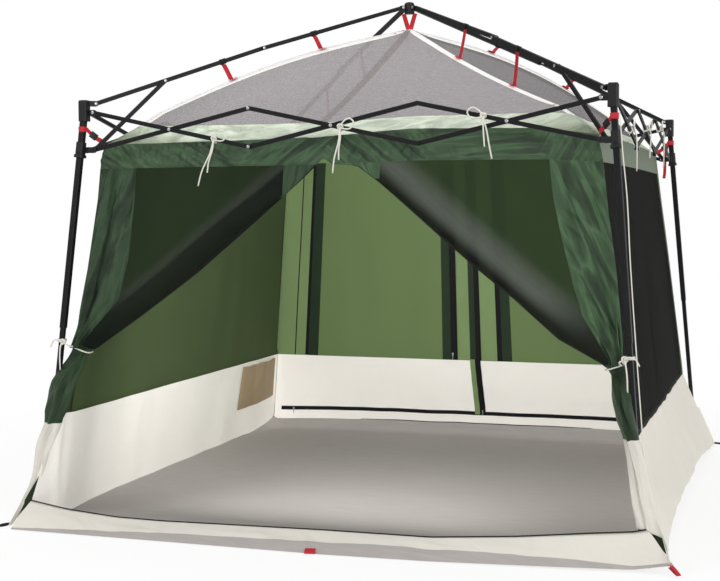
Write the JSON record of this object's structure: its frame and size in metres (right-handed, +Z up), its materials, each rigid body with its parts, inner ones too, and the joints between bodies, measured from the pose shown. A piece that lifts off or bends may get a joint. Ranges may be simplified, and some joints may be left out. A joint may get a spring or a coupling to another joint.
{
  "type": "pop-up screen house",
  "caption": "Pop-up screen house: slant-leg folding frame with scissor trusses and two-piece rafters, hung with a mesh-roofed tent with tied-back door flaps and a groundsheet.",
  "frame": {"origin": "centre of the groundsheet's underside, midway between the legs, on the ground", "axes": "+Z up, -Y out through the doorway, +X to the right seen from the doorway"},
  "size_m": [3.0604, 3.1304, 2.5679],
  "materials": {
    "black_steel": "satin black powder coat",
    "black_plastic": "moulded black",
    "green_polyester": "woven green cloth with a cream skirt and dark mesh windows",
    "grey_mesh": "fine grey netting",
    "grey_groundsheet": "coated grey cloth with a cream sill"
  },
  "bodies": {
    "tent": {"groundsheet": "grey_groundsheet", "wall_right": "green_polyester", "wall_back": "green_polyester", "wall_left": "green_polyester", "door_left": "green_polyester", "door_right": "green_polyester", "roof": "grey_mesh"},
    "hub": {"hub": "black_plastic"},
    "upper_rafter_front_left": {"upper_rafter_front_left": "black_steel"},
    "lower_rafter_front_left": {"lower_rafter_front_left": "black_steel"},
    "bracket_front_left": {"bracket_front_left": "black_plastic"},
    "upper_leg_front_left": {"upper_leg_front_left": "black_steel"},
    "slider_front_left": {"slider_front_left": "black_plastic"},
    "lower_leg_front_left": {"lower_leg_front_left": "black_steel"},
    "brace_front_left": {"brace_front_left": "black_steel"},
    "upper_rafter_front_right": {"upper_rafter_front_right": "black_steel"},
    "lower_rafter_front_right": {"lower_rafter_front_right": "black_steel"},
    "bracket_front_right": {"bracket_front_right": "black_plastic"},
    "upper_leg_front_right": {"upper_leg_front_right": "black_steel"},
    "slider_front_right": {"slider_front_right": "black_plastic"},
    "lower_leg_front_right": {"lower_leg_front_right": "black_steel"},
    "brace_front_right": {"brace_front_right": "black_steel"},
    "upper_rafter_back_right": {"upper_rafter_back_right": "black_steel"},
    "lower_rafter_back_right": {"lower_rafter_back_right": "black_steel"},
    "bracket_back_right": {"bracket_back_right": "black_plastic"},
    "upper_leg_back_right": {"upper_leg_back_right": "black_steel"},
    "slider_back_right": {"slider_back_right": "black_plastic"},
    "lower_leg_back_right": {"lower_leg_back_right": "black_steel"},
    "brace_back_right": {"brace_back_right": "black_steel"},
    "upper_rafter_back_left": {"upper_rafter_back_left": "black_steel"},
    "lower_rafter_back_left": {"lower_rafter_back_left": "black_steel"},
    "bracket_back_left": {"bracket_back_left": "black_plastic"},
    "upper_leg_back_left": {"upper_leg_back_left": "black_steel"},
    "slider_back_left": {"slider_back_left": "black_plastic"},
    "lower_leg_back_left": {"lower_leg_back_left": "black_steel"},
    "brace_back_left": {"brace_back_left": "black_steel"},
    "bar_a1_front": {"bar_a1_front": "black_steel"},
    "bar_b1_front": {"bar_b1_front": "black_steel"},
    "bar_a2_front": {"bar_a2_front": "black_steel"},
    "bar_b2_front": {"bar_b2_front": "black_steel"},
    "bar_b3_front": {"bar_b3_front": "black_steel"},
    "bar_a3_front": {"bar_a3_front": "black_steel"},
    "bar_a1_right": {"bar_a1_right": "black_steel"},
    "bar_b1_right": {"bar_b1_right": "black_steel"},
    "bar_a2_right": {"bar_a2_right": "black_steel"},
    "bar_b2_right": {"bar_b2_right": "black_steel"},
    "bar_b3_right": {"bar_b3_right": "black_steel"},
    "bar_a3_right": {"bar_a3_right": "black_steel"},
    "bar_a1_back": {"bar_a1_back": "black_steel"},
    "bar_b1_back": {"bar_b1_back": "black_steel"},
    "bar_a2_back": {"bar_a2_back": "black_steel"},
    "bar_b2_back": {"bar_b2_back": "black_steel"},
    "bar_b3_back": {"bar_b3_back": "black_steel"},
    "bar_a3_back": {"bar_a3_back": "black_steel"},
    "bar_a1_left": {"bar_a1_left": "black_steel"},
    "bar_b1_left": {"bar_b1_left": "black_steel"},
    "bar_a2_left": {"bar_a2_left": "black_steel"},
    "bar_b2_left": {"bar_b2_left": "black_steel"},
    "bar_b3_left": {"bar_b3_left": "black_steel"},
    "bar_a3_left": {"bar_a3_left": "black_steel"}
  },
  "joints": [
    {"name": "frame_fold", "type": "slide", "parent": "tent", "child": "hub", "axis": [0, 0, -1], "range_m": [0, 0.6224], "deforming": ["groundsheet", "wall_right", "wall_back", "wall_left", "door_left", "door_right", "roof"]},
    {"name": "hub_pivot_front_left", "type": "hinge", "parent": "hub", "child": "upper_rafter_front_left", "pos_m": [-0.03182, -0.03182, 2.5344], "axis": [0.7071, -0.7071, 0], "range_deg": [0, 69.57]},
    {"name": "rafter_fold_front_left", "type": "hinge", "parent": "upper_rafter_front_left", "child": "lower_rafter_front_left", "pos_m": [-0.59788, -0.59788, 2.2821], "axis": [0.7071, -0.7071, 0], "range_deg": [-175.07, 0]},
    {"name": "corner_pivot_front_left", "type": "hinge", "parent": "lower_rafter_front_left", "child": "bracket_front_left", "pos_m": [-1.21111, -1.21111, 1.975], "axis": [0.7071, -0.7071, 0], "range_deg": [0, 105.7]},
    {"name": "brace_pivot_front_left", "type": "hinge", "parent": "lower_rafter_front_left", "child": "brace_front_left", "pos_m": [-0.96582, -0.96582, 2.09784], "axis": [0.7071, -0.7071, 0], "range_deg": [0, 147.59]},
    {"name": "leg_splay_front_left", "type": "hinge", "parent": "bracket_front_left", "child": "upper_leg_front_left", "pos_m": [-1.25, -1.25, 1.93], "axis": [0.7071, -0.7071, 0], "range_deg": [0, 5.45]},
    {"name": "slider_travel_front_left", "type": "slide", "parent": "upper_leg_front_left", "child": "slider_front_left", "axis": [-0.0824, -0.0824, -0.9932], "range_m": [0, 0.6457]},
    {"name": "leg_length_front_left", "type": "slide", "parent": "upper_leg_front_left", "child": "lower_leg_front_left", "axis": [0.0824, 0.0824, 0.9932], "range_m": [0, 0.84]},
    {"name": "hub_pivot_front_right", "type": "hinge", "parent": "hub", "child": "upper_rafter_front_right", "pos_m": [0.03182, -0.03182, 2.5344], "axis": [0.7071, 0.7071, 0], "range_deg": [0, 69.57]},
    {"name": "rafter_fold_front_right", "type": "hinge", "parent": "upper_rafter_front_right", "child": "lower_rafter_front_right", "pos_m": [0.59788, -0.59788, 2.2821], "axis": [0.7071, 0.7071, 0], "range_deg": [-175.07, 0]},
    {"name": "corner_pivot_front_right", "type": "hinge", "parent": "lower_rafter_front_right", "child": "bracket_front_right", "pos_m": [1.21111, -1.21111, 1.975], "axis": [0.7071, 0.7071, 0], "range_deg": [0, 105.7]},
    {"name": "brace_pivot_front_right", "type": "hinge", "parent": "lower_rafter_front_right", "child": "brace_front_right", "pos_m": [0.96582, -0.96582, 2.09784], "axis": [0.7071, 0.7071, 0], "range_deg": [0, 147.59]},
    {"name": "leg_splay_front_right", "type": "hinge", "parent": "bracket_front_right", "child": "upper_leg_front_right", "pos_m": [1.25, -1.25, 1.93], "axis": [0.7071, 0.7071, 0], "range_deg": [0, 5.45]},
    {"name": "slider_travel_front_right", "type": "slide", "parent": "upper_leg_front_right", "child": "slider_front_right", "axis": [0.0824, -0.0824, -0.9932], "range_m": [0, 0.6457]},
    {"name": "leg_length_front_right", "type": "slide", "parent": "upper_leg_front_right", "child": "lower_leg_front_right", "axis": [-0.0824, 0.0824, 0.9932], "range_m": [0, 0.84]},
    {"name": "hub_pivot_back_right", "type": "hinge", "parent": "hub", "child": "upper_rafter_back_right", "pos_m": [0.03182, 0.03182, 2.5344], "axis": [-0.7071, 0.7071, 0], "range_deg": [0, 69.57]},
    {"name": "rafter_fold_back_right", "type": "hinge", "parent": "upper_rafter_back_right", "child": "lower_rafter_back_right", "pos_m": [0.59788, 0.59788, 2.2821], "axis": [-0.7071, 0.7071, 0], "range_deg": [-175.07, 0]},
    {"name": "corner_pivot_back_right", "type": "hinge", "parent": "lower_rafter_back_right", "child": "bracket_back_right", "pos_m": [1.21111, 1.21111, 1.975], "axis": [-0.7071, 0.7071, 0], "range_deg": [0, 105.7]},
    {"name": "brace_pivot_back_right", "type": "hinge", "parent": "lower_rafter_back_right", "child": "brace_back_right", "pos_m": [0.96582, 0.96582, 2.09784], "axis": [-0.7071, 0.7071, 0], "range_deg": [0, 147.59]},
    {"name": "leg_splay_back_right", "type": "hinge", "parent": "bracket_back_right", "child": "upper_leg_back_right", "pos_m": [1.25, 1.25, 1.93], "axis": [-0.7071, 0.7071, 0], "range_deg": [0, 5.45]},
    {"name": "slider_travel_back_right", "type": "slide", "parent": "upper_leg_back_right", "child": "slider_back_right", "axis": [0.0824, 0.0824, -0.9932], "range_m": [0, 0.6457]},
    {"name": "leg_length_back_right", "type": "slide", "parent": "upper_leg_back_right", "child": "lower_leg_back_right", "axis": [-0.0824, -0.0824, 0.9932], "range_m": [0, 0.84]},
    {"name": "hub_pivot_back_left", "type": "hinge", "parent": "hub", "child": "upper_rafter_back_left", "pos_m": [-0.03182, 0.03182, 2.5344], "axis": [-0.7071, -0.7071, 0], "range_deg": [0, 69.57]},
    {"name": "rafter_fold_back_left", "type": "hinge", "parent": "upper_rafter_back_left", "child": "lower_rafter_back_left", "pos_m": [-0.59788, 0.59788, 2.2821], "axis": [-0.7071, -0.7071, 0], "range_deg": [-175.07, 0]},
    {"name": "corner_pivot_back_left", "type": "hinge", "parent": "lower_rafter_back_left", "child": "bracket_back_left", "pos_m": [-1.21111, 1.21111, 1.975], "axis": [-0.7071, -0.7071, 0], "range_deg": [0, 105.7]},
    {"name": "brace_pivot_back_left", "type": "hinge", "parent": "lower_rafter_back_left", "child": "brace_back_left", "pos_m": [-0.96582, 0.96582, 2.09784], "axis": [-0.7071, -0.7071, 0], "range_deg": [0, 147.59]},
    {"name": "leg_splay_back_left", "type": "hinge", "parent": "bracket_back_left", "child": "upper_leg_back_left", "pos_m": [-1.25, 1.25, 1.93], "axis": [-0.7071, -0.7071, 0], "range_deg": [0, 5.45]},
    {"name": "slider_travel_back_left", "type": "slide", "parent": "upper_leg_back_left", "child": "slider_back_left", "axis": [-0.0824, 0.0824, -0.9932], "range_m": [0, 0.6457]},
    {"name": "leg_length_back_left", "type": "slide", "parent": "upper_leg_back_left", "child": "lower_leg_back_left", "axis": [0.0824, -0.0824, 0.9932], "range_m": [0, 0.84]},
    {"name": "truss_end_left_front", "type": "hinge", "parent": "bracket_front_left", "child": "bar_a1_front", "pos_m": [-1.2, -1.25, 1.93], "axis": [0, 1, 0], "range_deg": [0, 73.19]},
    {"name": "cross_left_front", "type": "hinge", "parent": "bar_a1_front", "child": "bar_b1_front", "pos_m": [-0.8, -1.25, 1.842], "axis": [0, 1, 0], "range_deg": [-146.19, 0]},
    {"name": "truss_top_front", "type": "hinge", "parent": "bar_b1_front", "child": "bar_a2_front", "pos_m": [-0.4, -1.25, 1.93], "axis": [0, 1, 0], "range_deg": [0, 146.19]},
    {"name": "cross_middle_front", "type": "hinge", "parent": "bar_a2_front", "child": "bar_b2_front", "pos_m": [0, -1.25, 1.842], "axis": [0, 1, 0], "range_deg": [-146.19, 0]},
    {"name": "truss_end_right_front", "type": "hinge", "parent": "bracket_front_right", "child": "bar_b3_front", "pos_m": [1.2, -1.25, 1.93], "axis": [0, 1, 0], "range_deg": [-73.19, 0]},
    {"name": "cross_right_front", "type": "hinge", "parent": "bar_b3_front", "child": "bar_a3_front", "pos_m": [0.8, -1.25, 1.842], "axis": [0, 1, 0], "range_deg": [0, 146.19]},
    {"name": "truss_end_left_right", "type": "hinge", "parent": "bracket_front_right", "child": "bar_a1_right", "pos_m": [1.25, -1.2, 1.93], "axis": [-1, 0, 0], "range_deg": [0, 73.19]},
    {"name": "cross_left_right", "type": "hinge", "parent": "bar_a1_right", "child": "bar_b1_right", "pos_m": [1.25, -0.8, 1.842], "axis": [-1, 0, 0], "range_deg": [-146.19, 0]},
    {"name": "truss_top_right", "type": "hinge", "parent": "bar_b1_right", "child": "bar_a2_right", "pos_m": [1.25, -0.4, 1.93], "axis": [-1, 0, 0], "range_deg": [0, 146.19]},
    {"name": "cross_middle_right", "type": "hinge", "parent": "bar_a2_right", "child": "bar_b2_right", "pos_m": [1.25, 0, 1.842], "axis": [-1, 0, 0], "range_deg": [-146.19, 0]},
    {"name": "truss_end_right_right", "type": "hinge", "parent": "bracket_back_right", "child": "bar_b3_right", "pos_m": [1.25, 1.2, 1.93], "axis": [-1, 0, 0], "range_deg": [-73.19, 0]},
    {"name": "cross_right_right", "type": "hinge", "parent": "bar_b3_right", "child": "bar_a3_right", "pos_m": [1.25, 0.8, 1.842], "axis": [-1, 0, 0], "range_deg": [0, 146.19]},
    {"name": "truss_end_left_back", "type": "hinge", "parent": "bracket_back_right", "child": "bar_a1_back", "pos_m": [1.2, 1.25, 1.93], "axis": [0, -1, 0], "range_deg": [0, 73.19]},
    {"name": "cross_left_back", "type": "hinge", "parent": "bar_a1_back", "child": "bar_b1_back", "pos_m": [0.8, 1.25, 1.842], "axis": [0, -1, 0], "range_deg": [-146.19, 0]},
    {"name": "truss_top_back", "type": "hinge", "parent": "bar_b1_back", "child": "bar_a2_back", "pos_m": [0.4, 1.25, 1.93], "axis": [0, -1, 0], "range_deg": [0, 146.19]},
    {"name": "cross_middle_back", "type": "hinge", "parent": "bar_a2_back", "child": "bar_b2_back", "pos_m": [0, 1.25, 1.842], "axis": [0, -1, 0], "range_deg": [-146.19, 0]},
    {"name": "truss_end_right_back", "type": "hinge", "parent": "bracket_back_left", "child": "bar_b3_back", "pos_m": [-1.2, 1.25, 1.93], "axis": [0, -1, 0], "range_deg": [-73.19, 0]},
    {"name": "cross_right_back", "type": "hinge", "parent": "bar_b3_back", "child": "bar_a3_back", "pos_m": [-0.8, 1.25, 1.842], "axis": [0, -1, 0], "range_deg": [0, 146.19]},
    {"name": "truss_end_left_left", "type": "hinge", "parent": "bracket_back_left", "child": "bar_a1_left", "pos_m": [-1.25, 1.2, 1.93], "axis": [1, 0, 0], "range_deg": [0, 73.19]},
    {"name": "cross_left_left", "type": "hinge", "parent": "bar_a1_left", "child": "bar_b1_left", "pos_m": [-1.25, 0.8, 1.842], "axis": [1, 0, 0], "range_deg": [-146.19, 0]},
    {"name": "truss_top_left", "type": "hinge", "parent": "bar_b1_left", "child": "bar_a2_left", "pos_m": [-1.25, 0.4, 1.93], "axis": [1, 0, 0], "range_deg": [0, 146.19]},
    {"name": "cross_middle_left", "type": "hinge", "parent": "bar_a2_left", "child": "bar_b2_left", "pos_m": [-1.25, 0, 1.842], "axis": [1, 0, 0], "range_deg": [-146.19, 0]},
    {"name": "truss_end_right_left", "type": "hinge", "parent": "bracket_front_left", "child": "bar_b3_left", "pos_m": [-1.25, -1.2, 1.93], "axis": [1, 0, 0], "range_deg": [-73.19, 0]},
    {"name": "cross_right_left", "type": "hinge", "parent": "bar_b3_left", "child": "bar_a3_left", "pos_m": [-1.25, -0.8, 1.842], "axis": [1, 0, 0], "range_deg": [0, 146.19]}
  ],
  "couplings": [
    {"joint": "hub_pivot_front_left", "follows": "frame_fold", "rad_per_m": 1.9454},
    {"joint": "rafter_fold_front_left", "follows": "frame_fold", "rad_per_m": -4.9038},
    {"joint": "corner_pivot_front_left", "follows": "frame_fold", "rad_per_m": 2.9584},
    {"joint": "brace_pivot_front_left", "follows": "frame_fold", "rad_per_m": 4.133},
    {"joint": "leg_splay_front_left", "follows": "frame_fold", "rad_per_m": 0.14709},
    {"joint": "slider_travel_front_left", "follows": "frame_fold", "ratio": 1.0358},
    {"joint": "hub_pivot_front_right", "follows": "frame_fold", "rad_per_m": 1.9454},
    {"joint": "rafter_fold_front_right", "follows": "frame_fold", "rad_per_m": -4.9038},
    {"joint": "corner_pivot_front_right", "follows": "frame_fold", "rad_per_m": 2.9584},
    {"joint": "brace_pivot_front_right", "follows": "frame_fold", "rad_per_m": 4.133},
    {"joint": "leg_splay_front_right", "follows": "frame_fold", "rad_per_m": 0.14709},
    {"joint": "slider_travel_front_right", "follows": "frame_fold", "ratio": 1.0358},
    {"joint": "hub_pivot_back_right", "follows": "frame_fold", "rad_per_m": 1.9454},
    {"joint": "rafter_fold_back_right", "follows": "frame_fold", "rad_per_m": -4.9038},
    {"joint": "corner_pivot_back_right", "follows": "frame_fold", "rad_per_m": 2.9584},
    {"joint": "brace_pivot_back_right", "follows": "frame_fold", "rad_per_m": 4.133},
    {"joint": "leg_splay_back_right", "follows": "frame_fold", "rad_per_m": 0.14709},
    {"joint": "slider_travel_back_right", "follows": "frame_fold", "ratio": 1.0358},
    {"joint": "hub_pivot_back_left", "follows": "frame_fold", "rad_per_m": 1.9454},
    {"joint": "rafter_fold_back_left", "follows": "frame_fold", "rad_per_m": -4.9038},
    {"joint": "corner_pivot_back_left", "follows": "frame_fold", "rad_per_m": 2.9584},
    {"joint": "brace_pivot_back_left", "follows": "frame_fold", "rad_per_m": 4.133},
    {"joint": "leg_splay_back_left", "follows": "frame_fold", "rad_per_m": 0.14709},
    {"joint": "slider_travel_back_left", "follows": "frame_fold", "ratio": 1.0358},
    {"joint": "truss_end_left_front", "follows": "frame_fold", "rad_per_m": 2.0469},
    {"joint": "cross_left_front", "follows": "frame_fold", "rad_per_m": -4.0937},
    {"joint": "truss_top_front", "follows": "frame_fold", "rad_per_m": 4.0937},
    {"joint": "cross_middle_front", "follows": "frame_fold", "rad_per_m": -4.0937},
    {"joint": "truss_end_right_front", "follows": "frame_fold", "rad_per_m": -2.0469},
    {"joint": "cross_right_front", "follows": "frame_fold", "rad_per_m": 4.0937},
    {"joint": "truss_end_left_right", "follows": "frame_fold", "rad_per_m": 2.0469},
    {"joint": "cross_left_right", "follows": "frame_fold", "rad_per_m": -4.0937},
    {"joint": "truss_top_right", "follows": "frame_fold", "rad_per_m": 4.0937},
    {"joint": "cross_middle_right", "follows": "frame_fold", "rad_per_m": -4.0937},
    {"joint": "truss_end_right_right", "follows": "frame_fold", "rad_per_m": -2.0469},
    {"joint": "cross_right_right", "follows": "frame_fold", "rad_per_m": 4.0937},
    {"joint": "truss_end_left_back", "follows": "frame_fold", "rad_per_m": 2.0469},
    {"joint": "cross_left_back", "follows": "frame_fold", "rad_per_m": -4.0937},
    {"joint": "truss_top_back", "follows": "frame_fold", "rad_per_m": 4.0937},
    {"joint": "cross_middle_back", "follows": "frame_fold", "rad_per_m": -4.0937},
    {"joint": "truss_end_right_back", "follows": "frame_fold", "rad_per_m": -2.0469},
    {"joint": "cross_right_back", "follows": "frame_fold", "rad_per_m": 4.0937},
    {"joint": "truss_end_left_left", "follows": "frame_fold", "rad_per_m": 2.0469},
    {"joint": "cross_left_left", "follows": "frame_fold", "rad_per_m": -4.0937},
    {"joint": "truss_top_left", "follows": "frame_fold", "rad_per_m": 4.0937},
    {"joint": "cross_middle_left", "follows": "frame_fold", "rad_per_m": -4.0937},
    {"joint": "truss_end_right_left", "follows": "frame_fold", "rad_per_m": -2.0469},
    {"joint": "cross_right_left", "follows": "frame_fold", "rad_per_m": 4.0937}
  ]
}
